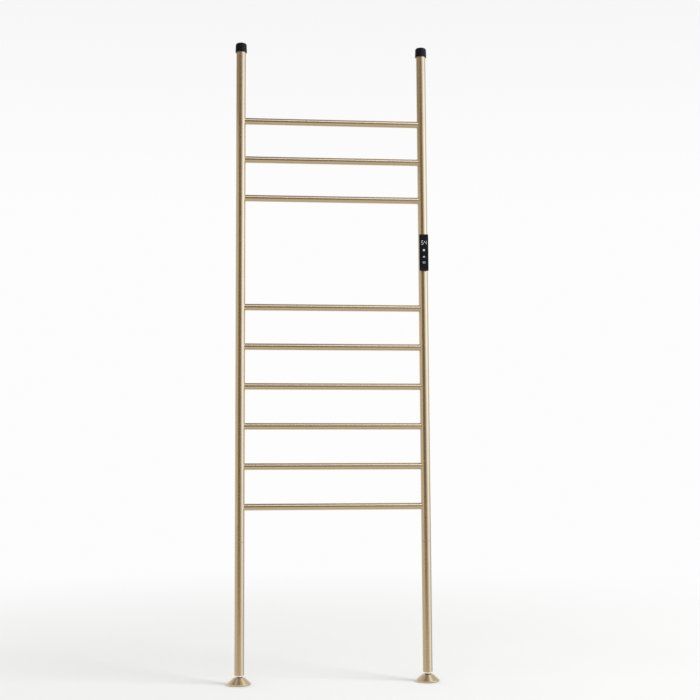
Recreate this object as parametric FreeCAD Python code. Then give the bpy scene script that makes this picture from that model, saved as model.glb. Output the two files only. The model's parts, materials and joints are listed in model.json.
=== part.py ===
import FreeCAD, Part
import math
import os

os.makedirs("parts", exist_ok=True)

# Standing heated towel ladder, millimetres, +Z up. Rungs run along X and the front faces -Y.
# The ladder leans back towards +Y on two swivel feet. The origin is on the floor, below the
# middle of the ladder's box.

# Ladder frame
lean = 3.2                   # degrees back from upright
upright_spacing = 475.0      # between the two upright axes
upright_od = 25.0
upright_wall = 1.2
rung_od = 17.2
rung_wall = 1.0
lower_rung_count = 6
upper_rung_count = 3
rung_pitch = 102.0
towel_gap = 285.0            # wide gap between the two groups of rungs, axis to axis
leg_length = 328.0           # from the leg's foot end to the seam
lowest_rung = 88.0           # lowest rung's axis above the seam
upright_top = 205.0          # upright's end above the highest rung's axis
weld_gap = 0.1               # between a coped rung end and the upright
tube_chamfer = 0.4           # at the seam and at the foot end of each leg
fit_gap = 0.05               # radial gap of pieces pushed into or over a tube
joiner_length = 70.0
joiner_wall = 1.8
joiner_chamfer = 1.0

# Rubber top caps
cap_wall = 2.6               # at the open end
cap_draft = 2.0              # degrees, narrower towards the top
cap_length = 24.2
cap_crown = 3.0
cap_edge_r = 5.0

# Swivel feet
foot_od = 60.0
foot_top_od = 26.5
cone_rise = 8.0              # top of the cone above the ball's centre
rim_height = 4.6             # upright rim below the cone
rim_lift = 0.6               # rim above the floor
rim_edge_r = 3.0             # rounded lower edge of the rim
top_chamfer = 0.4
rim_width = 4.0              # round the pad's recess
pad_thickness = 2.5
pad_gap = 0.2                # round the pad in its recess
pad_clear = 0.3              # ball above the pad
ball_shoulder = 2.0          # ball's radius over the stud's
ball_fit = 0.05
cup_wall = 1.75
cup_top_share = 0.5          # of the ball's radius, above its centre
cup_bottom_share = 0.6       # of the cup's radius, below the ball's centre
lip_share = 0.66             # of the socket's radius, above the ball's centre
mouth_clear = 0.8            # round the tilted stud
mouth_lip = 1.6              # flat top left round the flared mouth
flare_depth = 1.8
tilt = 10.0                  # degrees each way
plug_od = 34.0
plug_thickness = 3.0
stud_od = 12.0
stud_chamfer = 1.0
neck_gap = 5.0               # leg end above the cone
bush_length = 25.0
stud_fit = 0.05

# Control panel
panel_inset = 0.7            # upright's width left on each side of the panel
panel_length = 96.0
panel_stand = 5.5            # front face ahead of the upright's surface
panel_thickness = 5.0
panel_rise = 97.0            # lower end above the highest rung of the lower group
panel_corner_r = 2.0
panel_edge = 0.6             # chamfer round the front
panel_rim = 1.0              # round the lens
panel_chin = 6.0             # plain lower end of the front, below the lens
lens_thickness = 1.5
lens_gap = 0.1
collar_wall = 1.2
collar_gap = 0.1
tray_side = 2.5              # tray's sides inside the upright's bore
tray_margin = 9.0            # tray's ends inside the panel's ends
tray_wall = 1.2
tray_clear = 0.5             # tray's back ahead of the upright's axis
slot_gap = 0.2               # round the tray in the upright
ledge = 3.0                  # step that carries the board's ends
hook_width = 6.0
hook_reach = 1.2
hook_length = 2.5
hook_gap = 0.2
board_gap = 0.1
board_thickness = 1.2
board_set = 5.1              # board's front face behind the lens
display_side = 0.3           # from the tray's inner sides
display_height = 12.5
display_clear = 0.9          # behind the lens
display_drop_share = 0.22    # of the panel's length, from its upper end
key_drop_shares = (0.431, 0.613, 0.775)
touch_pad_od = 6.5
relay_width = 10.0
relay_height = 18.0
well_clear = 1.0             # ahead of the tray's floor
terminal_side = 0.6          # from the tray's inner sides
terminal_height = 10.0
terminal_gap = 0.3           # from the board's ledge

# Heating cables, supply lead and its gland
cable_od = 4.0
cable_gap = 0.3              # from the tube that the cable lies in
cable_bend_r = 15.0
cable_straight = 10.0        # straight run out of a terminal
ease_share = 0.45            # of the way from there to the first rung
ease_setback_share = 0.5     # of the straight run, taken by each gentle bend
seal_length = 10.0
seal_chamfer = 0.8
seal_inset = 40.0            # cable's end from the upright that it points at
lead_od = 5.0
lead_bend_r = 11.0
gland_rise = 60.0            # above the leg's foot end
gland_neck_od = 11.0
gland_flange_lip = 2.0
gland_flange = 1.8
gland_inner_lip = 1.0
gland_inner = 2.5
gland_chamfer = 0.8
gland_sink = 0.5             # lead's end inside the gland's mouth

overrun = 5.0                # how far cuts run past what they cut
parallel = 0.001             # radians, for picking edges by their direction
full_turn = 360              # degrees

# Sizes worked out from these
V = FreeCAD.Vector
X_AXIS = V(1, 0, 0)
Y_AXIS = V(0, 1, 0)
Z_AXIS = V(0, 0, 1)
half_spacing = upright_spacing / 2
upright_r = upright_od / 2
upright_bore_r = upright_r - upright_wall
rung_r = rung_od / 2
rung_bore_r = rung_r - rung_wall
foot_r = foot_od / 2
pad_r = foot_r - rim_width - pad_gap
stud_r = stud_od / 2
ball_r = stud_r + ball_shoulder
ball_height = pad_thickness + pad_clear + ball_r

# Heights along a leaning upright, from the centre of its foot's ball
leg_end = cone_rise + neck_gap
seam = leg_end + leg_length
rung_9 = seam + lowest_rung
rung_4 = rung_9 + (lower_rung_count - 1) * rung_pitch
rung_3 = rung_4 + towel_gap
rung_1 = rung_3 + (upper_rung_count - 1) * rung_pitch
upright_end = rung_1 + upright_top
cap_end = upright_end + cap_crown
lower_rungs = [rung_4 - k * rung_pitch for k in range(lower_rung_count)]
upper_rungs = [rung_3 + k * rung_pitch for k in range(upper_rung_count)]
rung_heights = list(reversed(upper_rungs)) + lower_rungs
panel_low = rung_4 + panel_rise
panel_high = panel_low + panel_length
panel_middle = (panel_low + panel_high) / 2

# Control panel, across the upright and ahead of its axis
panel_width = upright_od - 2 * panel_inset
panel_front = upright_r + panel_stand
tray_width = 2 * (upright_bore_r - tray_side)
tray_low = panel_low + tray_margin
tray_high = panel_high - tray_margin
tray_length = tray_high - tray_low

# Half the ladder's depth puts the origin below the middle of its box
cap_r = upright_r + fit_gap + cap_wall
draft_angle = math.radians(cap_draft)
cap_top_r = cap_r - cap_length * math.tan(draft_angle)
cap_edge_centre_r = cap_top_r - cap_edge_r * (1 - math.sin(draft_angle)) / math.cos(draft_angle)
lean_angle = math.radians(lean)
cap_back = (cap_end - cap_edge_r) * math.sin(lean_angle) + cap_edge_r
cap_back += cap_edge_centre_r * math.cos(lean_angle)
foot_y = (foot_r - cap_back) / 2
LEANING = FreeCAD.Placement(V(0, foot_y, ball_height), FreeCAD.Rotation(X_AXIS, -lean))
SIDES = {"left": -1, "right": 1}


def save(name, shape, place=LEANING):
    """Writes one sub-part, built about the ball centres' line, at its place on the floor."""
    shape.Placement = place.multiply(shape.Placement)
    shape.exportStep(f"parts/{name}.step")


def foot_place(side):
    """Upright place of one foot, with its ball's centre as the origin."""
    return FreeCAD.Placement(V(side * half_spacing, foot_y, ball_height), FreeCAD.Rotation())


def rod(radius, low, high, x=0):
    """Round bar along the uprights' direction."""
    return Part.makeCylinder(radius, high - low, V(x, 0, low))


def block(width, front, back, low, high, x=0):
    """Box centred on x, from front to back in Y and from low to high in Z."""
    return Part.makeBox(width, back - front, high - low, V(x - width / 2, front, low))


def round_edges(shape, heights, radius):
    """Round edges of one radius at the given heights."""
    edges = []
    for edge in shape.Edges:
        round_edge = isinstance(edge.Curve, Part.Circle) and math.isclose(edge.Curve.Radius, radius)
        if round_edge and any(math.isclose(edge.CenterOfMass.z, z) for z in heights):
            edges.append(edge)
    return edges


def chamfered(shape, size, heights, radius):
    """Chamfers the round edges of one radius at the given heights."""
    return shape.makeChamfer(size, round_edges(shape, heights, radius))


def upright_tube(x, low, high):
    """Length of upright tube about x = 0 moved to x, with both outer ends chamfered."""
    solid = chamfered(rod(upright_r, low, high), tube_chamfer, (low, high), upright_r)
    solid = solid.cut(rod(upright_bore_r, low - overrun, high + overrun))
    solid.translate(V(x, 0, 0))
    return solid


def rung_bore(side, height):
    """Bore through the inner wall of one upright, as wide as the rung's own bore."""
    length = upright_r + overrun
    return Part.makeCylinder(rung_bore_r, length, V(side * half_spacing, 0, height), X_AXIS * -side)


def panel_prism(inset, front, back, chin=0):
    """Prism of the panel's rounded outline, drawn in by inset and raised by a chin."""
    width = panel_width - 2 * inset
    prism = block(width, front, back, panel_low + inset + chin, panel_high - inset, half_spacing)
    along_y = [e for e in prism.Edges if e.tangentAt(e.FirstParameter).isParallel(Y_AXIS, parallel)]
    return prism.makeFillet(panel_corner_r - inset / 2, along_y)


def rounded_path(points, setbacks):
    """Straight runs joined by tangent arcs, each as far from its corner as its setback says."""
    edges = []
    start = points[0]
    for before, corner, after, setback in zip(points, points[1:], points[2:], setbacks):
        inward = (before - corner).normalize()
        onward = (after - corner).normalize()
        half_angle = inward.getAngle(onward) / 2
        radius = setback * math.tan(half_angle)
        bend_start = corner + inward * setback
        bend_end = corner + onward * setback
        bisector = (inward + onward).normalize()
        bend_middle = corner + bisector * (radius / math.sin(half_angle) - radius)
        edges.append(Part.LineSegment(start, bend_start).toShape())
        edges.append(Part.Arc(bend_start, bend_middle, bend_end).toShape())
        start = bend_end
    edges.append(Part.LineSegment(start, points[-1]).toShape())
    return Part.Wire(edges)


def cable_along(name, path, radius):
    """Round cable swept along a path, with its volume checked against section times length."""
    first = path.Edges[0]
    heading = first.tangentAt(first.FirstParameter)
    ring = Part.Wire(Part.makeCircle(radius, first.valueAt(first.FirstParameter), heading))
    solid = path.makePipeShell([ring], True, False)
    bends = [e.Curve.Radius for e in path.Edges if isinstance(e.Curve, Part.Circle)]
    share = solid.Volume / (math.pi * radius**2 * path.Length)
    print(f"{name}: length {path.Length:.0f}, tightest bend {min(bends):.1f}, volume share {share:.4f}")
    return solid


# Uprights, pierced where each rung is welded on, and the right one cut open behind the panel
for side_name, side in SIDES.items():
    upright = upright_tube(side * half_spacing, seam, upright_end)
    upright = upright.cut([rung_bore(side, height) for height in rung_heights])
    if side_name == "right":
        slot_width = tray_width + 2 * slot_gap
        slot_front = -upright_r - overrun
        upright = upright.cut(
            block(slot_width, slot_front, 0, tray_low - slot_gap, tray_high + slot_gap, half_spacing)
        )
    save(f"{side_name}_upright", upright)

# Rungs, coped to sit on the uprights
for number, height in enumerate(rung_heights, start=1):
    start = V(-half_spacing, 0, height)
    rung = Part.makeCylinder(rung_r, upright_spacing, start, X_AXIS)
    rung = rung.cut(Part.makeCylinder(rung_bore_r, upright_spacing, start, X_AXIS))
    for side in SIDES.values():
        saddle_r = upright_r + weld_gap
        rung = rung.cut(rod(saddle_r, height - rung_od, height + rung_od, side * half_spacing))
    save(f"rung_{number}", rung)

# Legs below the seam, their inner joiners and the threaded bushes for the feet
gland_height = leg_end + gland_rise
gland_neck_r = gland_neck_od / 2
joiner_r = upright_bore_r - fit_gap
joiner_bore_r = joiner_r - joiner_wall
for side_name, side in SIDES.items():
    leg = upright_tube(side * half_spacing, leg_end, seam)
    if side_name == "right":
        start = V(half_spacing, 0, gland_height)
        leg = leg.cut(Part.makeCylinder(gland_neck_r + fit_gap, upright_r + overrun, start, Y_AXIS))
    save(f"{side_name}_leg", leg)

    low = seam - joiner_length / 2
    high = seam + joiner_length / 2
    joiner = chamfered(rod(joiner_r, low, high), joiner_chamfer, (low, high), joiner_r)
    joiner = joiner.cut(rod(joiner_bore_r, low - overrun, high + overrun))
    joiner.translate(X_AXIS * side * half_spacing)
    save(f"{side_name}_leg_joiner", joiner)

    bush = rod(joiner_r, leg_end, leg_end + bush_length)
    bush = bush.cut(rod(stud_r + stud_fit, leg_end - overrun, leg_end + bush_length + overrun))
    bush.translate(X_AXIS * side * half_spacing)
    save(f"{side_name}_leg_bush", bush)

# Rubber caps pushed over the upper ends, which also rest against the wall
for side_name, side in SIDES.items():
    cap_low = cap_end - cap_length
    cap = Part.makeCone(cap_r, cap_top_r, cap_length, V(0, 0, cap_low))
    cap = cap.makeFillet(cap_edge_r, round_edges(cap, (cap_end,), cap_top_r))
    cap = cap.cut(rod(upright_r + fit_gap, cap_low - overrun, upright_end))
    cap.translate(X_AXIS * side * half_spacing)
    save(f"{side_name}_top_cap", cap)

# Swivel feet, each with a ball-ended stud, a split cup, a cone, a retaining plug and a pad
cup_bore_r = ball_r + ball_fit
cup_r = cup_bore_r + cup_wall
socket_r = cup_r + ball_fit
full_tilt = math.radians(tilt) * math.sqrt(2)
lip_height = lip_share * socket_r
plug_low = pad_thickness - ball_height
plug_high = plug_low + plug_thickness
rim_low = rim_lift - ball_height
rim_high = rim_low + rim_height


def mouth_r(height):
    """Radius that the stud needs at a height above the ball's centre when tilted both ways."""
    return height * math.sin(full_tilt) + stud_r * math.cos(full_tilt) + mouth_clear


def foot_cone():
    """Turned cone with its rounded rim, socket, flared mouth, plug seat and pad recess."""
    top_r = foot_top_od / 2
    outline = [
        V(0, 0, rim_low),
        V(foot_r, 0, rim_low),
        V(foot_r, 0, rim_high),
        V(top_r + top_chamfer, 0, cone_rise - top_chamfer),
        V(top_r, 0, cone_rise),
        V(0, 0, cone_rise),
        V(0, 0, rim_low),
    ]
    cone = Part.Face(Part.makePolygon(outline)).revolve(V(0, 0, 0), Z_AXIS, full_turn)
    cone = cone.makeFillet(rim_edge_r, round_edges(cone, (rim_low,), foot_r))
    mouth = Part.makeCone(mouth_r(0), mouth_r(cone_rise + overrun), cone_rise + overrun)
    flare_low = cone_rise - flare_depth
    flare_r = mouth_r(flare_low)
    flare_slope = (top_r - mouth_lip - flare_r) / flare_depth
    flare_reach = flare_depth + overrun
    flare = Part.makeCone(flare_r, flare_r + flare_slope * flare_reach, flare_reach, V(0, 0, flare_low))
    lip = rod(foot_r, plug_low, lip_height)
    socket = Part.makeSphere(socket_r).common(lip)
    plug_seat = rod(plug_od / 2 + fit_gap, rim_low - overrun, plug_high)
    pad_seat = rod(pad_r + pad_gap, rim_low - overrun, plug_low)
    return cone.cut([mouth, flare, socket, plug_seat, pad_seat])


def ball_stud():
    """Ball and its threaded stud, which reaches the top of the leg's bush."""
    top = leg_end + bush_length
    shank = chamfered(rod(stud_r, 0, top), stud_chamfer, (top,), stud_r)
    return Part.makeSphere(ball_r).fuse(shank).removeSplitter()


def ball_cup():
    """Cup between the ball and the cone's socket, round inside and out."""
    band = rod(foot_r, -cup_bottom_share * cup_r, cup_top_share * ball_r)
    return Part.makeSphere(cup_r).common(band).cut(Part.makeSphere(cup_bore_r))


for side_name, side in SIDES.items():
    place = foot_place(side)
    save(f"{side_name}_foot_cone", foot_cone(), place)
    save(f"{side_name}_ball_cup", ball_cup(), place)
    plug = rod(plug_od / 2, plug_low, plug_high).cut(Part.makeSphere(socket_r))
    save(f"{side_name}_foot_plug", plug, place)
    save(f"{side_name}_foot_pad", rod(pad_r, -ball_height, plug_low), place)
    stud = ball_stud()
    stud.translate(X_AXIS * side * half_spacing)
    save(f"{side_name}_foot_stud", stud)

# Control panel: a slim housing in front of the upright, with its tray let into the slot
lens_back = -panel_front + lens_thickness
panel_back = -panel_front + panel_thickness
board_front = lens_back + board_set
board_back = board_front + board_thickness
tray_floor = -tray_clear - tray_wall
pocket_width = tray_width - 2 * tray_wall
pocket_length = tray_length - 2 * tray_wall
well_length = pocket_length - 2 * ledge
well_back = tray_floor - well_clear
cable_r = cable_od / 2
lead_r = lead_od / 2
cable_side = pocket_width / 2 - cable_r - cable_gap
lead_set = joiner_bore_r - lead_r - cable_gap


def pocket(width, length, front, back):
    """Box in the panel, centred on it across and along."""
    return block(width, front, back, panel_middle - length / 2, panel_middle + length / 2, half_spacing)


def snap_hook(end):
    """Wedge at one end of the tray that catches behind the upright's wall."""
    wall_back = -math.sqrt(upright_bore_r**2 - (hook_width / 2) ** 2)
    front = wall_back + hook_gap
    foot = panel_middle + end * tray_length / 2
    tip = foot + end * (hook_reach + slot_gap)
    x = half_spacing - hook_width / 2
    corners = [V(x, front, foot), V(x, front, tip), V(x, front + hook_length, foot), V(x, front, foot)]
    return Part.Face(Part.makePolygon(corners)).extrude(X_AXIS * hook_width)


def cable_hole(x, end, radius):
    """Hole for a cable through one end of the tray."""
    start = V(half_spacing + x, -lead_set, panel_middle)
    return Part.makeCylinder(radius + cable_gap, panel_length, start, Z_AXIS * end)


def control_housing():
    """Moulded housing: rimmed front with a chin, stepped tray, hooks and cable holes."""
    shell = panel_prism(0, -panel_front, panel_back)
    front_edges = [e for e in shell.Edges if math.isclose(e.BoundBox.YMax, -panel_front)]
    shell = shell.makeChamfer(panel_edge, front_edges)
    tray = pocket(tray_width, tray_length, lens_back, -tray_clear)
    housing = shell.fuse([tray, snap_hook(1), snap_hook(-1)])
    housing = housing.cut(
        [
            panel_prism(panel_rim, -panel_front - overrun, lens_back, panel_chin),
            pocket(pocket_width, pocket_length, lens_back - overrun, board_back),
            pocket(pocket_width, well_length, board_back, tray_floor),
            cable_hole(cable_side, 1, cable_r),
            cable_hole(cable_side, -1, cable_r),
            cable_hole(0, -1, lead_r),
        ]
    )
    return housing.removeSplitter()


def saddle_collar():
    """Rubber collar round the tray, flat on the housing and hollowed to sit on the upright."""
    bore_width = tray_width + 2 * collar_gap
    bore_length = tray_length + 2 * collar_gap
    wrap = 2 * collar_wall
    collar = pocket(bore_width + wrap, bore_length + wrap, panel_back, 0)
    upright = rod(upright_r + fit_gap, panel_low, panel_high, half_spacing)
    return collar.cut([pocket(bore_width, bore_length, panel_back, 0), upright])


save("control_housing", control_housing())
save("control_gasket", saddle_collar())
save("control_lens", panel_prism(panel_rim + lens_gap, -panel_front, lens_back, panel_chin))
board_width = pocket_width - 2 * board_gap
board_length = pocket_length - 2 * board_gap
save("control_board", pocket(board_width, board_length, board_front, board_back))

display_width = pocket_width - 2 * display_side
display_middle = panel_high - display_drop_share * panel_length
display_low = display_middle - display_height / 2
display_high = display_low + display_height
display_front = lens_back + display_clear
display = block(display_width, display_front, board_front, display_low, display_high, half_spacing)
save("digit_display", display)
touch_pads = []
for share in key_drop_shares:
    start = V(half_spacing, lens_back, panel_high - share * panel_length)
    touch_pads.append(Part.makeCylinder(touch_pad_od / 2, board_set, start, Y_AXIS))
save("touch_pads", Part.makeCompound(touch_pads))

save("power_relay", pocket(relay_width, relay_height, board_back, well_back))
terminal_width = pocket_width - 2 * terminal_side
terminal_end = well_length / 2 - terminal_gap
for end_name, end in (("upper", 1), ("lower", -1)):
    faces = sorted(panel_middle + end * z for z in (terminal_end - terminal_height, terminal_end))
    save(f"{end_name}_terminal", block(terminal_width, board_back, well_back, *faces, half_spacing))

# Heating cables, each from its terminal to and fro through one group of rungs
turn_x = half_spacing + upright_bore_r - cable_r - cable_gap
cable_drop = rung_bore_r - cable_r - cable_gap


def heating_route(end, heights):
    """Corner points and setbacks from a terminal through the rungs at these heights."""
    levels = [height - cable_drop for height in heights]
    x = half_spacing + cable_side
    out = panel_middle + end * terminal_end
    straight = out + end * cable_straight
    eased = straight + ease_share * (levels[0] - straight)
    points = [V(x, -lead_set, out), V(x, -lead_set, straight), V(turn_x, 0, eased)]
    setbacks = [ease_setback_share * cable_straight] * 2
    side = 1
    for level in levels:
        points += [V(side * turn_x, 0, level), V(-side * turn_x, 0, level)]
        setbacks += [cable_bend_r, cable_bend_r]
        side = -side
    points[-1] = V(side * (half_spacing - upright_r - seal_inset), 0, levels[-1])
    return points, setbacks[:-1]


end_seals = []
for end_name, end, heights in (("upper", 1, upper_rungs), ("lower", -1, lower_rungs)):
    points, setbacks = heating_route(end, heights)
    cable_name = f"{end_name}_heating_cable"
    save(cable_name, cable_along(cable_name, rounded_path(points, setbacks), cable_r))
    heading = (points[-1] - points[-2]).normalize()
    seal = Part.makeCylinder(cable_r, seal_length, points[-1], heading)
    tip = points[-1] + heading * seal_length
    tip_edges = [e for e in seal.Edges if e.CenterOfMass.isEqual(tip, fit_gap)]
    end_seals.append(seal.makeChamfer(seal_chamfer, tip_edges))
save("cable_end_seals", Part.makeCompound(end_seals))

# Supply lead inside the right upright, from the gland behind the leg to the lower terminal
gland_mouth = upright_r + gland_flange
lead_end = panel_middle - terminal_end
lead_points = [
    V(half_spacing, gland_mouth - gland_sink, gland_height),
    V(half_spacing, -lead_set, gland_height),
    V(half_spacing, -lead_set, lead_end),
]
save("supply_lead", cable_along("supply_lead", rounded_path(lead_points, [lead_bend_r]), lead_r))

gland_start = V(half_spacing, 0, gland_height)
gland_back = gland_mouth - gland_flange - upright_wall - gland_inner
leg_tube = rod(upright_r + fit_gap, leg_end, seam, half_spacing)
leg_bore = rod(upright_bore_r - fit_gap, leg_end, seam, half_spacing)
flange = Part.makeCylinder(gland_neck_r + gland_flange_lip, gland_mouth, gland_start, Y_AXIS)
mouth_edges = [e for e in flange.Edges if math.isclose(e.CenterOfMass.y, gland_mouth)]
flange = flange.makeChamfer(gland_chamfer, mouth_edges).cut(leg_tube)
neck = Part.makeCylinder(gland_neck_r, gland_mouth - gland_chamfer, gland_start, Y_AXIS)
inner_flange = Part.makeCylinder(gland_neck_r + gland_inner_lip, gland_mouth, gland_start, Y_AXIS)
inner_flange = inner_flange.common(leg_bore)
lead_bore = Part.makeCylinder(lead_r + fit_gap, gland_mouth, gland_start, Y_AXIS)
inside = block(upright_od, 0, gland_back, leg_end, seam, half_spacing)
gland = flange.fuse([neck, inner_flange]).cut([inside, lead_bore]).removeSplitter()
save("cable_gland", gland)
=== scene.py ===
import json
import math

import bmesh
import bpy
import numpy as np
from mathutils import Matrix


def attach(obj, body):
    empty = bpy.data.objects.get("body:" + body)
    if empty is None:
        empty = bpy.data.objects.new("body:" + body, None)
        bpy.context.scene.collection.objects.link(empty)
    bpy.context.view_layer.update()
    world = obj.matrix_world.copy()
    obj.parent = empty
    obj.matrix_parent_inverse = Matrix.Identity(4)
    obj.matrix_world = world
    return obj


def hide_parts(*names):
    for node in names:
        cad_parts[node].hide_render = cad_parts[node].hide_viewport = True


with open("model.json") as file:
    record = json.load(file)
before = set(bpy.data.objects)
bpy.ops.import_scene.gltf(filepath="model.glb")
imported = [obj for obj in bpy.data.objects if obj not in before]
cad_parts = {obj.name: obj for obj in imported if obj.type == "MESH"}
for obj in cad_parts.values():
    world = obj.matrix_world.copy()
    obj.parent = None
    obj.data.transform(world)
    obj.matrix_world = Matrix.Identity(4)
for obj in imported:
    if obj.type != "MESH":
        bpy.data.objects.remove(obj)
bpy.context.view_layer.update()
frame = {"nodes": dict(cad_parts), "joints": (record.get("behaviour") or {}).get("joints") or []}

# Leaning heated towel ladder, in metres. The rungs run along X, the front faces -Y, and the
# ladder leans back towards +Y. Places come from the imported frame, and sizes repeat the CAD's.

# Tubes
UPRIGHT_R = 0.0125
UPRIGHT_BORE_R = 0.0113
RUNGS = 9
RUNG_R = 0.0086
RUNG_BORE_R = 0.0076
TUBE_EDGE_R = 0.0008         # rounded tube ends, which meet at the seam
LEG_EDGE_R = 0.0009          # rounded foot end of each leg
BORE_EDGE_R = 0.0002
WELD_R = 0.0010              # dressed weld fillet round each rung end
WELD_SINK = 0.00005          # weld's toe below the upright's surface

# Rubber top caps
CAP_R = 0.01515              # at the open end
CAP_TOP_R = 0.014305
CAP_BORE_R = 0.01255
CAP_CROWN = 0.003
CAP_EDGE_R = 0.005
CAP_LIP_R = 0.0004

# Swivel feet, with heights above the ball's centre
FOOT_R = 0.030
FOOT_TOP_R = 0.01325
FOOT_TOP = 0.0080
RIM_LOW = -0.0106            # nearly on the floor, with the pad pressed in
RIM_HIGH = -0.0056
RIM_EDGE_R = 0.0036          # rounded lower edge of the rim
CONE_EDGE_R = 0.0010         # between rim and slope
LIP_EDGE_R = 0.0004
FLARE_R = 0.01165            # flared mouth at the top
FLARE_LOW = 0.0062
MOUTH_R = 0.00813
MOUTH_LOW = 0.0057
SOCKET_R = 0.00985
PLUG_SEAT_R = 0.01705
PLUG_TOP = -0.0053
PAD_SEAT_R = 0.0260
PAD_R = 0.0258
PAD_TOP = -0.0083
PAD_FLOOR = -0.0108
PAD_EDGE_R = 0.0002
TREAD_DEPTH = 0.0006
TREAD_WIDTH = 0.0020
TREAD_RADII = (0.008, 0.014, 0.020)
BALL_R = 0.008
STUD_R = 0.006
STUD_CHAMFER = 0.001
THREAD_PITCH = 0.00175
THREAD_DEPTH = 0.0009
THREAD_RINGS_PER_PITCH = 12
# Painted shade on the foot stud, where the cone's mouth shades it: it runs over the ball and the start
# of the neck, and fades out over the edge length below
PAINTED_SHADE_LENGTH = 0.0226       # over the ball and the start of the neck, along their outline
PAINTED_SHADE_EDGE = 0.0014

# Control panel
PANEL_CORNER_R = 0.002
PANEL_EDGE_R = 0.0009
PANEL_THICKNESS = 0.005
PANEL_RIM = 0.0010
LENS_GAP = 0.0001
LENS_BEVEL = 0.0032          # width of the lens's sloping border
LENS_BEVEL_DROP = 0.00015
LENS_EDGE_R = 0.0002
TRAY_HALF_WIDTH = 0.0088
TRAY_MARGIN = 0.009
TRAY_BACK = -0.0005
TRAY_WALL = 0.0012
TRAY_CORNER_R = 0.0006
LEDGE = 0.003
MARK_PROUD = 0.00004         # lit marks above the lens
MARK_SINK = 0.0002
DIGIT_HEIGHT = 0.0108
DIGIT_WIDTH = 0.0058
DIGIT_PITCH = 0.0080
STROKE = 0.0009
STROKE_GAP = 0.00012
DIGIT_SLANT = 0.08
DIGIT_DROP_SHARE = 0.231     # of the panel's length, from its upper end
KEY_DROP_SHARES = (0.439, 0.613, 0.775)
KEY_DOT_R = 0.0028
KEY_ARROW = (0.0035, 0.0022)  # half width and half height
KEY_DIAMOND = (0.0043, 0.0034)
SHOWN_DIGITS = "54"

# Cable gland
GLAND_R = 0.0075
GLAND_BORE_R = 0.00255
GLAND_MOUTH = 0.0143
GLAND_EDGE_R = 0.0008
GLAND_RISE = 0.060           # above the leg's foot end

# Finishes
NOISE_MIDDLE = (0.3, 0.7)    # range of a noise that a spread covers
FINE_DETAIL = 3.0
BRUSH_RING = (0.030, 0.0005, 1.0)    # real rings are 0.1 mm apart, and drawn at 0.5 mm to show
METAL_CLOUD = (0.060, 0.090, 1.0)
RING_STRENGTH = 0.15
LACQUER_ROUGHNESS = 0.12
QUARTER_TURN = 0.25          # turns the stretched highlights from round the tube to along it
# dark brown of the painted shade on the stud's ball and neck
PAINTED_SHADE = "#16130f"
GRAINS_PER_CLOUD = 40
PIT_STRENGTH = 0.35
MARK_PATCH = 0.004
MARK_ROUGHNESS = 0.35
BOARD_UNIT = 0.002           # length of the board that one unit of its pattern covers
BOARD_ROUGHNESS = 0.35
TRACK_SHARE = 0.06           # width of the tracks in the pattern

# Mesh
AROUND = 96                  # points round a tube
CORNER_STEPS = 7             # points on each rounded corner
SHARP = math.radians(40)     # edges steeper than this stay crisp
MERGE = 1e-7                 # points closer than this become one
TURN = np.linspace(0, 2 * np.pi, AROUND, endpoint=False)
SIDES = {"left": -1, "right": 1}

# Directions and places from the frame
joints = {joint["name"]: joint for joint in frame["joints"]}
ACROSS = np.array([1.0, 0.0, 0.0])
UPWARD = np.array(joints["left_foot_height"]["axis"])
BACKWARD = np.cross(UPWARD, ACROSS)
BALL_X, BALL_Y, BALL_Z = joints["right_foot_side_tilt"]["pos_m"]
BALL_LINE = np.array([0.0, BALL_Y, BALL_Z])


def leaning(across, back, up):
    """Points measured across, back and up the leaning ladder, from the line through its balls."""
    across, back, up = np.broadcast_arrays(across, back, up)
    return BALL_LINE + across[..., None] * ACROSS + back[..., None] * BACKWARD + up[..., None] * UPWARD


def standing(across, back, up):
    """Points measured across, back and straight up, from the line through the balls."""
    return BALL_LINE + np.stack(np.broadcast_arrays(across, back, up), axis=-1)


def reach(node):
    """Lowest and highest place of a CAD node, measured across, back and up the leaning ladder."""
    mesh = frame["nodes"][node].data
    points = np.empty(len(mesh.vertices) * 3, np.float32)
    mesh.vertices.foreach_get("co", points)
    places = (points.reshape(-1, 3) - BALL_LINE) @ np.array([ACROSS, BACKWARD, UPWARD]).T
    return places.min(axis=0), places.max(axis=0)


def box_of(node):
    """Half width, low and high end of a CAD node, measured up the leaning ladder."""
    lowest, highest = reach(node)
    return (highest[0] - lowest[0]) / 2, lowest[2], highest[2]


def ends_of(node):
    """Low and high end of a CAD node, measured up the leaning ladder."""
    return box_of(node)[1:]


def linear(hex_colour):
    """Linear RGBA of an sRGB hex colour."""
    shares = np.array([int(hex_colour[k:k + 2], 16) for k in (1, 3, 5)]) / 255
    light = np.where(shares <= 0.04045, shares / 12.92, ((shares + 0.055) / 1.055) ** 2.4)
    return (*light.tolist(), 1.0)


def add(tree, kind, inputs=None, **settings):
    """Adds one node with its properties, and sets or links its inputs by name or number."""
    node = tree.nodes.new("ShaderNode" + kind)
    for name, value in settings.items():
        setattr(node, name, value)
    for key, value in (inputs or {}).items():
        if isinstance(value, bpy.types.NodeSocket):
            tree.links.new(value, node.inputs[key])
        else:
            node.inputs[key].default_value = value
    return node


def start_material(name):
    """New material with an empty node tree."""
    material = bpy.data.materials.new(name)
    material.use_nodes = True
    material.node_tree.nodes.clear()
    return material, material.node_tree


def show(tree, shader):
    """Sends a shader to the material's surface."""
    add(tree, "OutputMaterial", {"Surface": shader.outputs[0]})


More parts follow.
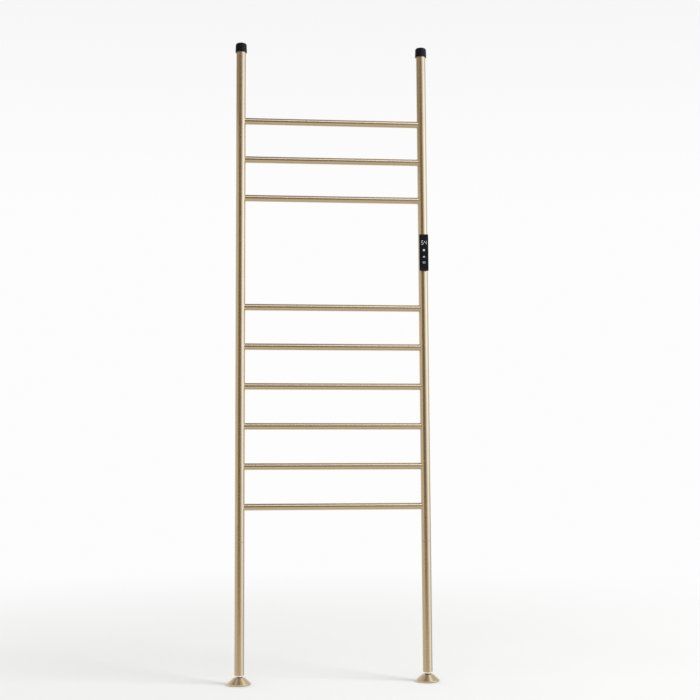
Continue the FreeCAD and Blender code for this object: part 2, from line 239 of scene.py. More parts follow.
def pattern(tree, size, place, detail=2.0):
    """Noise whose lumps are as large as size, in metres along each direction of a place socket."""
    scaled = add(tree, "Mapping", {"Vector": place, "Scale": tuple(1 / length for length in size)})
    inputs = {"Vector": scaled.outputs[0], "Scale": 1.0, "Detail": detail}
    return add(tree, "TexNoise", inputs).outputs[0]


def blend(tree, share, start, end):
    """Colour that runs from start to end with a share."""
    return add(tree, "Mix", {0: share, 6: start, 7: end}, data_type="RGBA").outputs[2]


def drift(tree, noise, dark, light):
    """Colour that drifts between two hex colours with a noise."""
    return blend(tree, noise, linear(dark), linear(light))


def spread(tree, noise, low, high):
    """Number that runs from low to high over the middle of a noise."""
    ends = {"From Min": NOISE_MIDDLE[0], "From Max": NOISE_MIDDLE[1], "To Min": low, "To Max": high}
    return add(tree, "MapRange", {"Value": noise, **ends}).outputs[0]


def brushed_metal(name, dark, light, roughness, anisotropy, ring_height, coat=0.0, painted_shade_length=None):
    """Metal brushed round its axis: faint rings, and bands of light that run along the tube. A
    coat is clear lacquer over it, and a painted shade darkens it from the first ring up to a
    given length."""
    material, tree = start_material(name)
    surface = add(tree, "UVMap", uv_map="surface").outputs[0]
    tangent = add(tree, "Tangent", direction_type="UV_MAP", uv_map="surface").outputs[0]
    rings = pattern(tree, BRUSH_RING, surface, FINE_DETAIL)
    clouds = pattern(tree, METAL_CLOUD, surface)
    bump = add(tree, "Bump", {"Height": rings, "Strength": RING_STRENGTH, "Distance": ring_height})
    colour = drift(tree, clouds, dark, light)
    # Painted shade: dark brown laid over the ball and the start of the neck, where the cone's mouth
    # shades it, fading out at the given length
    if painted_shade_length:
        along = add(tree, "SeparateXYZ", {0: surface}).outputs[1]
        ends = {"Value": along, "From Min": painted_shade_length - PAINTED_SHADE_EDGE, "From Max": painted_shade_length}
        unshaded = add(tree, "MapRange", ends, interpolation_type="SMOOTHSTEP").outputs[0]
        colour = blend(tree, unshaded, linear(PAINTED_SHADE), colour)
    shader = add(
        tree,
        "BsdfPrincipled",
        {
            "Base Color": colour,
            "Metallic": 1.0,
            "Coat Weight": coat,
            "Coat Roughness": LACQUER_ROUGHNESS,
            "Roughness": spread(tree, rings, *roughness),
            "Anisotropic": anisotropy,
            "Anisotropic Rotation": QUARTER_TURN,
            "Tangent": tangent,
            "Normal": bump.outputs[0],
        },
    )
    show(tree, shader)
    return material


def moulded(name, dark, light, roughness, grain, depth, specular=0.5):
    """Moulded rubber or plastic: a fine pitted skin whose tone drifts a little."""
    material, tree = start_material(name)
    place = add(tree, "TexCoord").outputs["Object"]
    pits = pattern(tree, (grain,) * 3, place, FINE_DETAIL)
    clouds = pattern(tree, (grain * GRAINS_PER_CLOUD,) * 3, place)
    bump = add(tree, "Bump", {"Height": pits, "Strength": PIT_STRENGTH, "Distance": depth})
    shader = add(
        tree,
        "BsdfPrincipled",
        {
            "Base Color": drift(tree, clouds, dark, light),
            "Roughness": spread(tree, pits, *roughness),
            "Specular IOR Level": specular,
            "Normal": bump.outputs[0],
        },
    )
    show(tree, shader)
    return material


def lit_marks(name, dark, light, strength):
    """Lamp light through a clear mark in the lens, a little brighter in patches."""
    material, tree = start_material(name)
    place = add(tree, "TexCoord").outputs["Object"]
    glow = drift(tree, pattern(tree, (MARK_PATCH,) * 3, place), dark, light)
    lamp = {"Emission Color": glow, "Emission Strength": strength}
    show(tree, add(tree, "BsdfPrincipled", {"Base Color": glow, "Roughness": MARK_ROUGHNESS, **lamp}))
    return material


def solder_masked_board():
    """Glass-fibre board under green solder mask, with a fine net of paler tracks."""
    material, tree = start_material("solder_masked_glass_fibre_board")
    place = add(tree, "TexCoord").outputs["Object"]
    upright = {"Rotation": (math.radians(90), 0, 0), "Scale": (1 / BOARD_UNIT,) * 3}
    scaled = add(tree, "Mapping", {"Vector": place, **upright}).outputs[0]
    mask = {"Color1": linear("#0f3d1e"), "Color2": linear("#134a25")}
    net = {"Mortar": linear("#2c7a3f"), "Mortar Size": TRACK_SHARE}
    tracks = add(tree, "TexBrick", {"Vector": scaled, **mask, **net}).outputs[0]
    show(tree, add(tree, "BsdfPrincipled", {"Base Color": tracks, "Roughness": BOARD_ROUGHNESS}))
    return material


# Stainless tube brushed round, coated champagne gold and lacquered: soft tan metal, crisp bands
CHAMPAGNE = brushed_metal(
    "lacquered_champagne_brushed_stainless",
    "#b49c75",
    "#bca67f",
    roughness=(0.20, 0.24),
    anisotropy=0.6,
    ring_height=0.000005,
    coat=1.0,
)
# Turned and polished steel of the foot studs, nickel plated: bright and a little warm, with fine
# tool rings and painted shade over the ball and the start of the neck
POLISHED = brushed_metal(
    "turned_polished_steel",
    "#d8cdb4",
    "#e0d6bf",
    roughness=(0.10, 0.14),
    anisotropy=0.3,
    ring_height=0.000005,
    painted_shade_length=PAINTED_SHADE_LENGTH,
)
# Zinc plated turned steel of the hidden sleeves, bushes and plugs: dull silver
PLATED = moulded(
    "zinc_plated_turned_steel", "#8f9090", "#a2a3a2", roughness=(0.35, 0.5), grain=0.0006, depth=0.00001
)
# Moulded rubber of the caps and pads: satin black with a soft highlight
RUBBER = moulded(
    "moulded_satin_rubber",
    "#050505",
    "#080808",
    roughness=(0.34, 0.42),
    grain=0.0005,
    depth=0.00001,
    specular=0.16,
)
# Moulded ABS of the housing: fine satin black
HOUSING = moulded(
    "moulded_satin_abs",
    "#060607",
    "#09090a",
    roughness=(0.30, 0.38),
    grain=0.0004,
    depth=0.00001,
    specular=0.25,
)
# Polished acrylic lens, black behind: glossy
LENS = moulded(
    "polished_black_acrylic",
    "#09090a",
    "#0c0c0d",
    roughness=(0.08, 0.12),
    grain=0.003,
    depth=0.000001,
    specular=0.2,
)
# Moulded nylon of the ball cups: waxy off-white
NYLON = moulded(
    "moulded_natural_nylon", "#dcd9cf", "#e6e3da", roughness=(0.4, 0.5), grain=0.0008, depth=0.00001
)
# Extruded silicone of the heating cables: dull brick red
SILICONE = moulded(
    "extruded_silicone_sheath", "#8e3324", "#9c3c2b", roughness=(0.5, 0.6), grain=0.0005, depth=0.00001
)
# Extruded sheath of the supply lead: dull black
SHEATH = moulded(
    "extruded_cable_sheath", "#141414", "#1b1b1b", roughness=(0.45, 0.55), grain=0.0005, depth=0.00001
)
# Conductive foam of the touch pads: open grey cells
FOAM = moulded(
    "conductive_grey_foam", "#4c4c4e", "#66666a", roughness=(0.8, 0.95), grain=0.0007, depth=0.00015
)
# Moulded block of the digit display: dark and smooth
DISPLAY = moulded(
    "moulded_display_block", "#1a1a1c", "#222225", roughness=(0.2, 0.3), grain=0.001, depth=0.000005
)
# Moulded relay case: blue-black plastic
RELAY = moulded(
    "moulded_relay_case", "#20262c", "#282f36", roughness=(0.35, 0.45), grain=0.0006, depth=0.00001
)
# Moulded terminal blocks: dull green plastic
TERMINAL = moulded(
    "moulded_terminal_block", "#22603a", "#2b6c44", roughness=(0.4, 0.5), grain=0.0006, depth=0.00001
)
# Lamp light through clear marks in the lens
DIGIT_LIGHT = lit_marks("lit_digit_strokes", "#bcbec0", "#cccecf", strength=0.08)
KEY_LIGHT = lit_marks("lit_key_marks", "#b2b4b6", "#c2c4c6", strength=0.08)
BOARD = solder_masked_board()


def rounded_outline(corners, radii):
    """Outline with each corner replaced by a tangent arc. The arc's centre lies on the corner's
    bisector at radius / sin(half the angle), and the arc turns evenly between the two sides."""
    corner = np.asarray(corners, float)
    radius = np.asarray(radii, float)[:, None]
    before = np.roll(corner, 1, axis=0) - corner
    after = np.roll(corner, -1, axis=0) - corner
    before /= np.linalg.norm(before, axis=1, keepdims=True)
    after /= np.linalg.norm(after, axis=1, keepdims=True)
    half = np.arccos(np.clip((before * after).sum(axis=1, keepdims=True), -1, 1)) / 2
    inward = (before + after) / (2 * np.cos(half))
    sideways = (after - before) / (2 * np.sin(half))
    centre = corner + inward * radius / np.sin(half)
    swing = (np.pi / 2 - half) * np.linspace(-1, 1, CORNER_STEPS)
    arcs = sideways[:, None] * np.sin(swing)[..., None] - inward[:, None] * np.cos(swing)[..., None]
    return (centre[:, None] + radius[:, None] * arcs).reshape(-1, 2)


def turned(outline, x, place):
    """Rings of a turned piece: each outline point, radius and height, swept round the axis at x."""
    radius, height = outline[:, :1], outline[:, 1:]
    return place(x + radius * np.cos(TURN), radius * np.sin(TURN), height)


def ring_quads(rings, joined, first):
    """Corner numbers and surface coordinates of the quads between neighbouring rings. Both
    coordinates are lengths in metres: round the rings and along the row of rings."""
    count, around = rings.shape[:2]
    index = first + np.arange(count * around).reshape(count, around)
    onward = np.roll(index, -1, axis=0)
    girth = np.linalg.norm(rings - np.roll(rings, -1, axis=1), axis=2).sum(axis=1).mean()
    steps = np.linalg.norm(rings - np.roll(rings, -1, axis=0), axis=2).mean(axis=1)
    u = np.broadcast_to(np.arange(around) * girth / around, (count, around))
    v = np.broadcast_to((np.cumsum(steps) - steps)[:, None], (count, around))
    width = np.full_like(u, girth / around)
    length = np.broadcast_to(steps[:, None], (count, around))
    quads = np.stack([index, np.roll(index, -1, axis=1), np.roll(onward, -1, axis=1), onward], axis=-1)
    flat = np.stack([u, v, u + width, v, u + width, v + length, u, v + length], axis=-1)
    last = count if joined else count - 1
    return quads[:last].reshape(-1, 4), flat[:last].reshape(-1, 2)


def make_piece(name, grids, finish, body, nodes=()):
    """Piece made of grids of rings, each with a word on whether its last ring joins its first.
    Doubled points merge, so poles close, and faces are turned outwards."""
    firsts = np.cumsum([0] + [rings.shape[0] * rings.shape[1] for rings, joined in grids])
    parts = [ring_quads(rings, joined, first) for (rings, joined), first in zip(grids, firsts)]
    mesh = bpy.data.meshes.new(name)
    points = np.concatenate([rings.reshape(-1, 3) for rings, joined in grids])
    mesh.from_pydata(points, [], np.concatenate([quads for quads, flat in parts]))
    surface = mesh.uv_layers.new(name="surface")
    surface.uv.foreach_set("vector", np.concatenate([flat for quads, flat in parts]).ravel())
    work = bmesh.new()
    work.from_mesh(mesh)
    bmesh.ops.remove_doubles(work, verts=work.verts, dist=MERGE)
    bmesh.ops.recalc_face_normals(work, faces=work.faces)
    work.to_mesh(mesh)
    work.free()
    mesh.shade_smooth()
    mesh.set_sharp_from_angle(angle=SHARP)
    mesh.materials.append(finish)
    piece = bpy.data.objects.new(name, mesh)
    bpy.context.scene.collection.objects.link(piece)
    piece.modifiers.new("even_shading", "WEIGHTED_NORMAL").keep_sharp = True
    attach(piece, body)
    if nodes:
        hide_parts(*nodes)


def tube(low, high, low_edge, x):
    """Rings of a length of upright tube with rounded ends, bore included."""
    corners = [(UPRIGHT_BORE_R, low), (UPRIGHT_R, low), (UPRIGHT_R, high), (UPRIGHT_BORE_R, high)]
    outline = rounded_outline(corners, [BORE_EDGE_R, low_edge, TUBE_EDGE_R, BORE_EDGE_R])
    return turned(outline, x, leaning)


def coped_rung(up):
    """Rings of a rung that ends on both uprights. A point at distance d from the rung's axis ends
    where the upright's surface is, sqrt(R^2 - (d cos t)^2) from the upright's axis, and a quarter
    circle of weld leads from the rung's side out on to it."""
    swing = np.linspace(0, np.pi / 2, CORNER_STEPS)
    off_axis = np.concatenate([RUNG_R + WELD_R * (1 - np.cos(swing)), [RUNG_BORE_R]])
    off_upright = np.concatenate([WELD_R * (1 - np.sin(swing)) - WELD_SINK, [-WELD_SINK]])
    side = np.repeat([-1, 1], len(off_axis))[:, None]
    off_axis = np.concatenate([off_axis[::-1], off_axis])[:, None]
    off_upright = np.concatenate([off_upright[::-1], off_upright])[:, None]
    saddle = np.sqrt(UPRIGHT_R**2 - (off_axis * np.cos(TURN)) ** 2)
    across = side * (BALL_X - saddle - off_upright)
    return leaning(across, off_axis * np.cos(TURN), up + off_axis * np.sin(TURN))


def top_cap(low, high, x):
    """Rings of a cap: crown, rounded edge, drafted side, lip and bore, from pole to pole."""
    roof = high - CAP_CROWN
    outside = [(0, high), (CAP_TOP_R, high), (CAP_R, low)]
    inside = [(CAP_BORE_R, low), (CAP_BORE_R, roof), (0, roof)]
    outline = rounded_outline(outside + inside, [0, CAP_EDGE_R, CAP_LIP_R, CAP_LIP_R, 0, 0])
    return turned(outline, x, leaning)


def foot_cone(x):
    """Rings of a cone foot: rim, slope, top and flared mouth, then the round socket and the seats
    below."""
    outside = [
        (PAD_SEAT_R, RIM_LOW),
        (FOOT_R, RIM_LOW),
        (FOOT_R, RIM_HIGH),
        (FOOT_TOP_R, FOOT_TOP),
        (FLARE_R, FOOT_TOP),
        (MOUTH_R, FLARE_LOW),
    ]
    radii = [BORE_EDGE_R, RIM_EDGE_R, CONE_EDGE_R, LIP_EDGE_R, LIP_EDGE_R, BORE_EDGE_R]
    ends = np.arcsin([MOUTH_LOW / SOCKET_R, PLUG_TOP / SOCKET_R])
    angle = np.linspace(*ends, CORNER_STEPS * 2)
    socket = SOCKET_R * np.stack([np.cos(angle), np.sin(angle)], axis=1)
    seats = [(PLUG_SEAT_R, PLUG_TOP), (PLUG_SEAT_R, PAD_TOP), (PAD_SEAT_R, PAD_TOP)]
    closed = rounded_outline([*outside, tuple(socket[0])], [*radii, 0])[:-CORNER_STEPS]
    return turned(np.concatenate([closed, socket, seats]), x, standing)


def foot_stud(low, high, x):
    """Rings of a ball stud: round ball, plain neck, then a screw thread whose depth follows
    height / pitch minus the turn round the axis, fading in and out at its ends."""
    joined_at = math.acos(STUD_R / BALL_R)
    angle = np.linspace(-np.pi / 2, joined_at, CORNER_STEPS * 4)
    ball = BALL_R * np.stack([np.cos(angle), np.sin(angle)], axis=1)
    threaded = np.arange(low, high - STUD_CHAMFER, THREAD_PITCH / THREAD_RINGS_PER_PITCH)[:, None]
    fade = np.clip(np.minimum(threaded - low, high - STUD_CHAMFER - threaded) / THREAD_PITCH, 0, 1)
    groove = 0.5 - 0.5 * np.cos(2 * np.pi * threaded / THREAD_PITCH - TURN)
    radius = STUD_R - THREAD_DEPTH * fade * groove
    end = [(STUD_R, high - STUD_CHAMFER), (STUD_R - STUD_CHAMFER, high), (0, high)]
    thread = leaning(x + radius * np.cos(TURN), radius * np.sin(TURN), threaded)
    return np.concatenate([turned(ball, x, leaning), thread, turned(np.array(end), x, leaning)])


def foot_pad(x):
    """Rings of a rubber pad with ring grooves in its tread, from pole to pole."""
    sole = [(PAD_R, PAD_TOP), (PAD_R, PAD_FLOOR)]
    for radius in reversed(TREAD_RADII):
        inner, outer = radius - TREAD_WIDTH / 2, radius + TREAD_WIDTH / 2
        groove = PAD_FLOOR + TREAD_DEPTH
        sole += [(outer, PAD_FLOOR), (outer, groove), (inner, groove), (inner, PAD_FLOOR)]
    radii = [0, *[PAD_EDGE_R] * len(sole), 0]
    outline = rounded_outline([(0, PAD_TOP), *sole, (0, PAD_FLOOR)], radii)
    return turned(outline, x, standing)


def plate_rings(rows, x):
    """Rings of rounded rectangles. A row gives half width, low and high end, corner radius and
    depth, and each corner is a quarter circle about its own centre."""
    half_width, low, high, corner, back = np.asarray(rows, float).T[:, :, None]
    quarter = np.linspace(0, np.pi / 2, CORNER_STEPS)
    angle = np.concatenate([quarter + turn * np.pi / 2 for turn in range(4)])
    to_right = np.sign(np.cos(np.repeat([1, 3, 5, 7], CORNER_STEPS) * np.pi / 4))
    to_top = np.sign(np.sin(np.repeat([1, 3, 5, 7], CORNER_STEPS) * np.pi / 4))
    across = to_right * (half_width - corner) + corner * np.cos(angle)
    up = (low + high) / 2 + to_top * ((high - low) / 2 - corner) + corner * np.sin(angle)
    return leaning(x + across, back, up)


def grown(box, margin):
    """Box of half width, low and high end, made larger all round by a margin."""
    half_width, low, high = box
    return half_width + margin, low - margin, high + margin


def plate_row(box, inset, corner, back):
    """Row for plate_rings: a box of half width, low and high end, drawn in all round by inset."""
    return (*grown(box, -inset), max(corner - inset, BORE_EDGE_R), back)


def flat_row(box, back):
    """Row for plate_rings that closes a flat face on the line through the middle of a box."""
    half_width, low, high = box
    return (0, low + half_width, high - half_width, 0, back)


def edge_rows(box, radius, corner, front):
    """Rows of a rounded edge: inset and depth follow a quarter circle from the side to the front."""
    swing = np.linspace(0, np.pi / 2, CORNER_STEPS)
    insets, depths = radius * (1 - np.cos(swing)), radius * (1 - np.sin(swing))
    return [plate_row(box, inset, corner, front + depth) for inset, depth in zip(insets, depths)]


def mark_between(start, end, x, up, front):
    """Rings of a flat mark between two outlines, let into the lens: front first, then back."""
    shape = np.stack([start, end, end, start])
    back = np.repeat([front - MARK_PROUD, front + MARK_SINK], 2)
    return leaning(x + shape[..., 0], back[:, None], up + shape[..., 1])


def full_mark(outline, x, up, front):
    """Rings of a flat mark that fills an outline, from its middle out."""
    middle = np.broadcast_to(outline.mean(axis=0), outline.shape)
    return mark_between(middle, outline, x, up, front)


def digit_strokes(digit, x, up, front):
    """Marks of one seven-stroke digit: six-sided bars, slanted by a share of their height."""
    lit = {"4": "bcfg", "5": "acdfg"}[digit]
    half_width, half_height = (DIGIT_WIDTH - STROKE) / 2, (DIGIT_HEIGHT - STROKE) / 2
    ends = {
        "a": ((-1, 2), (1, 2)),
        "b": ((1, 0), (1, 2)),
        "c": ((1, -2), (1, 0)),
        "d": ((-1, -2), (1, -2)),
        "f": ((-1, 0), (-1, 2)),
        "g": ((-1, 0), (1, 0)),
    }
    marks = []
    for stroke in lit:
        start, end = np.array(ends[stroke]) * (half_width, half_height / 2)
        along = (end - start) / np.linalg.norm(end - start)
        beside = np.array([-along[1], along[0]]) * STROKE / 2
        start, end = start + along * STROKE_GAP, end - along * STROKE_GAP
        shoulder = along * STROKE / 2
        bar = np.array([start, start + shoulder + beside, end - shoulder + beside, end])
        bar = np.concatenate([bar, [end - shoulder - beside, start + shoulder - beside]])
        bar[:, 0] += DIGIT_SLANT * bar[:, 1]
        marks.append((full_mark(bar, x, up, front), False))
    return marks


def cable_gland(up, x):
    """Rings of a rubber gland behind the leg: its foot follows the leg's round surface,
    sqrt(R^2 - (d cos t)^2) from the axis, and its mouth is rounded into the bore."""
    outside = [(GLAND_R, UPRIGHT_R), (GLAND_R, GLAND_MOUTH)]
    inside = [(GLAND_BORE_R, GLAND_MOUTH), (GLAND_BORE_R, UPRIGHT_R)]
    outline = rounded_outline(outside + inside, [0, GLAND_EDGE_R, GLAND_EDGE_R, 0])
    off_axis, back = outline[:, :1], outline[:, 1:]
    saddle = np.sqrt(UPRIGHT_R**2 - (off_axis * np.cos(TURN)) ** 2)
    seated = np.where(back <= UPRIGHT_R, saddle - WELD_SINK, back)
    return leaning(x + off_axis * np.cos(TURN), seated, up + off_axis * np.sin(TURN))


# Tubes, caps and feet
for side_name, side in SIDES.items():
    x = side * BALL_X
    for part, low_edge in (("upright", TUBE_EDGE_R), ("leg", LEG_EDGE_R)):
        node = f"{side_name}_{part}"
        length = (tube(*ends_of(node), low_edge, x), True)
        make_piece(f"brushed_{node}", [length], CHAMPAGNE, "frame", [node])
    node = f"{side_name}_top_cap"
    cap = (top_cap(*ends_of(node), x), False)
    make_piece(f"moulded_{node}", [cap], RUBBER, "frame", [node])
    foot = f"{side_name}_foot"
    node = f"{foot}_cone"
    cone = (foot_cone(x), True)
    make_piece(f"turned_{node}", [cone], CHAMPAGNE, foot, [node])
    node = f"{foot}_pad"
    pad = (foot_pad(x), False)
    make_piece(f"grooved_{node}", [pad], RUBBER, foot, [node])
    node = f"{foot}_stud"
    thread_low, thread_high = ends_of(f"{side_name}_leg")[0], ends_of(node)[1]
    stud = (foot_stud(thread_low, thread_high, x), False)
    make_piece(f"threaded_{node}", [stud], POLISHED, f"{side_name}_stud", [node])
for number in range(1, RUNGS + 1):
    node = f"rung_{number}"
    rung = (coped_rung(sum(ends_of(node)) / 2), True)
    make_piece(f"brushed_{node}", [rung], CHAMPAGNE, "frame", [node])

# Control panel
panel_box = box_of("control_housing")
lens_box = box_of("control_lens")
panel_low, panel_high = ends_of("control_housing")
panel_front = reach("control_housing")[0][1]
lens_front, lens_back = (corner[1] for corner in reach("control_lens"))
board_back = reach("control_board")[1][1]
seat_box = grown(lens_box, LENS_GAP)
tray_box = (TRAY_HALF_WIDTH, panel_low + TRAY_MARGIN, panel_high - TRAY_MARGIN)
pocket_box = grown(tray_box, -TRAY_WALL)
well_box = (pocket_box[0], pocket_box[1] + LEDGE, pocket_box[2] - LEDGE)
panel_back = panel_front + PANEL_THICKNESS
tray_floor = TRAY_BACK - TRAY_WALL
lens_corner = PANEL_CORNER_R - PANEL_RIM / 2
housing_rows = [
    flat_row(tray_box, TRAY_BACK),
    plate_row(tray_box, 0, TRAY_CORNER_R, TRAY_BACK),
    plate_row(tray_box, 0, TRAY_CORNER_R, panel_back),
    plate_row(panel_box, BORE_EDGE_R, PANEL_CORNER_R, panel_back),
    plate_row(panel_box, 0, PANEL_CORNER_R, panel_back - BORE_EDGE_R),
    *edge_rows(panel_box, PANEL_EDGE_R, PANEL_CORNER_R, panel_front),
    plate_row(seat_box, -BORE_EDGE_R / 2, lens_corner, panel_front),
    plate_row(seat_box, 0, lens_corner, panel_front + BORE_EDGE_R / 2),
    plate_row(seat_box, 0, lens_corner, lens_back),
    plate_row(pocket_box, 0, TRAY_CORNER_R, lens_back),
    plate_row(pocket_box, 0, TRAY_CORNER_R, board_back),
    plate_row(well_box, 0, TRAY_CORNER_R, board_back),
    plate_row(well_box, 0, TRAY_CORNER_R, tray_floor),
    flat_row(well_box, tray_floor),
]
housing = (plate_rings(housing_rows, BALL_X), False)
make_piece("moulded_control_housing", [housing], HOUSING, "frame", ["control_housing"])

lens_rows = [
    flat_row(lens_box, lens_back),
    plate_row(lens_box, 0, lens_corner, lens_back),
    plate_row(lens_box, 0, lens_corner, lens_front + LENS_BEVEL_DROP + LENS_EDGE_R),
    plate_row(lens_box, LENS_EDGE_R, lens_corner, lens_front + LENS_BEVEL_DROP),
    plate_row(lens_box, LENS_BEVEL, LENS_BEVEL + BORE_EDGE_R, lens_front),
    flat_row(lens_box, lens_front),
]
lens = (plate_rings(lens_rows, BALL_X), False)
make_piece("bevelled_control_lens", [lens], LENS, "frame", ["control_lens"])

panel_length = panel_high - panel_low
digits = []
for place, digit in enumerate(SHOWN_DIGITS):
    x = BALL_X + (place - (len(SHOWN_DIGITS) - 1) / 2) * DIGIT_PITCH
    digits += digit_strokes(digit, x, panel_high - DIGIT_DROP_SHARE * panel_length, lens_front)
make_piece("lit_display_digits", digits, DIGIT_LIGHT, "frame")

dot_up, arrow_up, diamond_up = (panel_high - share * panel_length for share in KEY_DROP_SHARES)
dot = KEY_DOT_R * np.stack([np.cos(TURN), np.sin(TURN)], axis=1)
arrow = np.array([(-1, -1), (1, -1), (0, 1)]) * KEY_ARROW
diamond = np.array([(0, -1), (1, 0), (0, 1), (-1, 0)]) * KEY_DIAMOND
diamond_hole = diamond * (1 - STROKE * math.sqrt(2) / KEY_DIAMOND[1])
keys = [
    (full_mark(dot, BALL_X, dot_up, lens_front), False),
    (full_mark(arrow, BALL_X, arrow_up, lens_front), False),
    (mark_between(diamond, diamond_hole, BALL_X, diamond_up, lens_front), True),
]
make_piece("lit_key_marks", keys, KEY_LIGHT, "frame")

# Gland behind the right leg
gland_up = ends_of("right_leg")[0] + GLAND_RISE
gland = (cable_gland(gland_up, BALL_X), True)
make_piece("moulded_cable_gland", [gland], RUBBER, "frame", ["cable_gland"])

# Finishes of the CAD nodes that stay
kept_nodes = {
    "control_gasket": RUBBER,
    "control_board": BOARD,
    "digit_display": DISPLAY,
    "touch_pads": FOAM,
    "power_relay": RELAY,
    "upper_terminal": TERMINAL,
    "lower_terminal": TERMINAL,
    "upper_heating_cable": SILICONE,
    "lower_heating_cable": SILICONE,
    "cable_end_seals": RUBBER,
    "supply_lead": SHEATH,
}
for side_name in SIDES:
    kept_nodes[f"{side_name}_leg_joiner"] = PLATED
    kept_nodes[f"{side_name}_leg_bush"] = PLATED
    kept_nodes[f"{side_name}_foot_plug"] = PLATED
    kept_nodes[f"{side_name}_ball_cup"] = NYLON
for node, finish in kept_nodes.items():
    frame["nodes"][node].material_slots[0].material = finish

# Studio: pale floor that fades to white, soft lamps, and cards that only mirrored rays see
PURE_WHITE = (1.0, 1.0, 1.0, 1.0)
WHITE = (0.98, 0.93)         # of full white, seen near the horizon and higher up
WHITE_RISE = (0.16, 0.30)    # sines of the elevations where it starts and ends to change
FILL = 0.70                  # world's light on dull surfaces
FLOOR_HALF = 9.0
FLOOR_FADE = (0.4, 2.7)      # distances from the ladder where the floor starts and ends to whiten
FLOOR_CLOUD = 0.5
CARD_WHITE = "#dce7ff"       # bluish, since the gold turns it pale yellow
CEILING_WHITE = "#f2f4ff"
CARD_BROWN = "#ffeed6"
CARD_TAN = "#fff1dc"
# A card's columns give x, y and a share of its glow, and its rows give a height and a share
SIDE_GLOW = 3.25
SIDE_CARD_R = 3.9
SIDE_CARD = (                # degrees from the front to the right, and share of the card's glow
    (4, 0.10),
    (15, 0.28),
    (28, 0.50),
    (40, 0.70),
    (52, 0.88),
    (65, 1.00),
    (80, 0.86),
    (95, 0.60),
    (110, 0.42),
    (125, 0.34),
)
SIDE_ROWS = ((0, 0.68), (0.9, 0.82), (2.0, 1), (2.6, 0.97), (2.95, 0.82), (4.6, 0.8))
SIDE_CARD_LOW = 3            # first column that also runs below the floor
SIDE_LOW_ROWS = ((-1.6, 0.66), (0, 0.68))
BROWN_GLOW = 0.28
BROWN_COLUMNS = ((-4.9, -4.04, 1), (2.3, -4.04, 1))
BROWN_ROWS = ((0, 1), (4.4, 1))
TAN_GLOW = 0.47
TAN_COLUMNS = ((-1.5, -1.19, 1), (-1.5, 1.5, 1))
TAN_ROWS = ((1.8, 1), (3.3, 1))
CEILING_GLOW = 1.82
CEILING_HEIGHT = 4.5
CEILING_Y = (-2, 5)
CEILING_COLUMNS = (          # places from left to right, and share of the card's glow
    (-3.0, 0.62),
    (-1.5, 0.60),
    (-1.1, 0.27),
    (-0.15, 0.20),
    (0.3, 0.40),
    (0.9, 0.45),
    (1.5, 1.00),
    (2.0, 1.00),
    (2.6, 0.55),
)
FRONT_TOP_GLOW = 3.0
FRONT_TOP = (
    ((-2, -3.90, 4.3), (0.5, -3.90, 4.3), (1.1, -3.90, 3.5), (2.4, -3.6, 3.5)),
    ((-2, -2.70, 5.68), (0.5, -2.70, 5.68), (1.1, -2.70, 5.68), (2.4, -2.5, 5.68)),
)
FRONT_TOP_SHARES = (0.8, 1, 1.3, 1.3)
KEY_LAMP = {"glow": 5.5, "size": (4.8, 7.3), "place": (7.5, -3.8, 5.8), "aim": (0, 0, 0.6)}
TOP_LAMP = {"glow": 1.1, "size": (4.0, 2.1), "place": (0, -3.5, 5.0), "aim": (0, 0, 0.9)}


def seen(tree):
    """One for rays that look at the background: the eye's, mirrored ones and ones through glass."""
    rays = add(tree, "LightPath").outputs
    first = add(tree, "Math", {0: rays["Is Camera Ray"], 1: rays["Is Glossy Ray"]}, operation="MAXIMUM")
    both = {0: first.outputs[0], 1: rays["Is Transmission Ray"]}
    return add(tree, "Math", both, operation="MAXIMUM").outputs[0]


def white_world():
    """World that is white to look at and a softer fill for dull surfaces."""
    world = bpy.data.worlds.new("studio")
    world.use_nodes = True
    tree = world.node_tree
    tree.nodes.clear()
    rise = add(tree, "SeparateXYZ", {0: add(tree, "TexCoord").outputs["Generated"]}).outputs[2]
    ends = {"Value": rise, "From Min": WHITE_RISE[0], "From Max": WHITE_RISE[1]}
    white = add(tree, "MapRange", {**ends, "To Min": WHITE[0], "To Max": WHITE[1]}).outputs[0]
    strength = add(tree, "MapRange", {"Value": seen(tree), "To Min": FILL, "To Max": white}).outputs[0]
    background = add(tree, "Background", {"Color": PURE_WHITE, "Strength": strength})
    add(tree, "OutputWorld", {"Surface": background.outputs[0]})
    bpy.context.scene.world = world


def stage_piece(name, points, finish):
    """Stage surface over a grid of points."""
    grid = np.asarray(points, float)
    index = np.arange(grid.shape[0] * grid.shape[1]).reshape(grid.shape[:2])
    quads = np.stack([index[:-1, :-1], index[:-1, 1:], index[1:, 1:], index[1:, :-1]], axis=-1)
    mesh = bpy.data.meshes.new(name)
    mesh.from_pydata(grid.reshape(-1, 3), [], quads.reshape(-1, 4))
    mesh.materials.append(finish)
    piece = bpy.data.objects.new(name, mesh)
    bpy.context.scene.collection.objects.link(piece)
    return piece


